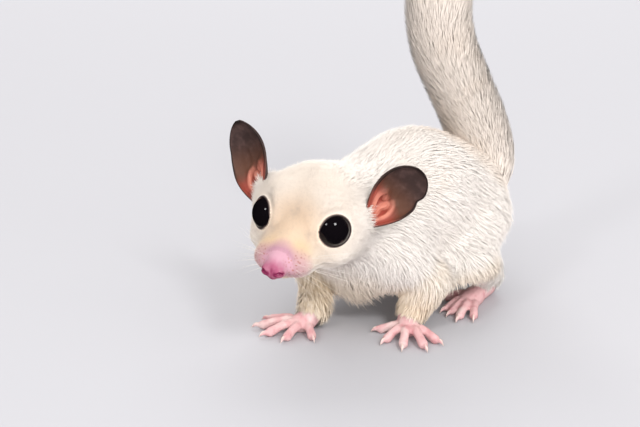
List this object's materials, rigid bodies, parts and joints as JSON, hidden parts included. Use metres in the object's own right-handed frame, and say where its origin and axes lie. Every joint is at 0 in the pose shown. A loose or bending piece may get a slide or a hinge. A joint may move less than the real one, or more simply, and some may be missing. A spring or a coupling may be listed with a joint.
{
  "type": "sugar glider",
  "caption": "Life-size pale sugar glider with dark ears, crouched on all fours with its head turned to its left and its bushy tail raised.",
  "frame": {"origin": "on the floor under the middle of the outline, between the four feet", "axes": "the body faces -Y, its left side is +X and its back is +Z; the head turns to its left"},
  "size_m": [0.0634, 0.1184, 0.1247],
  "materials": {
    "fur": "soft dense fur",
    "skin": "bare satin skin",
    "ear_skin": "thin dark skin, satin",
    "eye": "wet gloss"
  },
  "bodies": {
    "root": {"head": "fur", "nose": "skin", "eye_left": "eye", "ear_left": "ear_skin", "eye_right": "eye", "ear_right": "ear_skin", "neck": "fur", "torso": "fur", "upper_arm_left": "fur", "forearm_left": "fur", "thigh_left": "fur", "shank_left": "fur", "hand_left": "skin", "foot_left": "skin", "membrane_left": "fur", "upper_arm_right": "fur", "forearm_right": "fur", "thigh_right": "fur", "shank_right": "fur", "hand_right": "skin", "foot_right": "skin", "membrane_right": "fur", "tail_base": "fur", "tail_lower": "fur", "tail_middle": "fur", "tail_tip": "fur"}
  },
  "joints": []
}
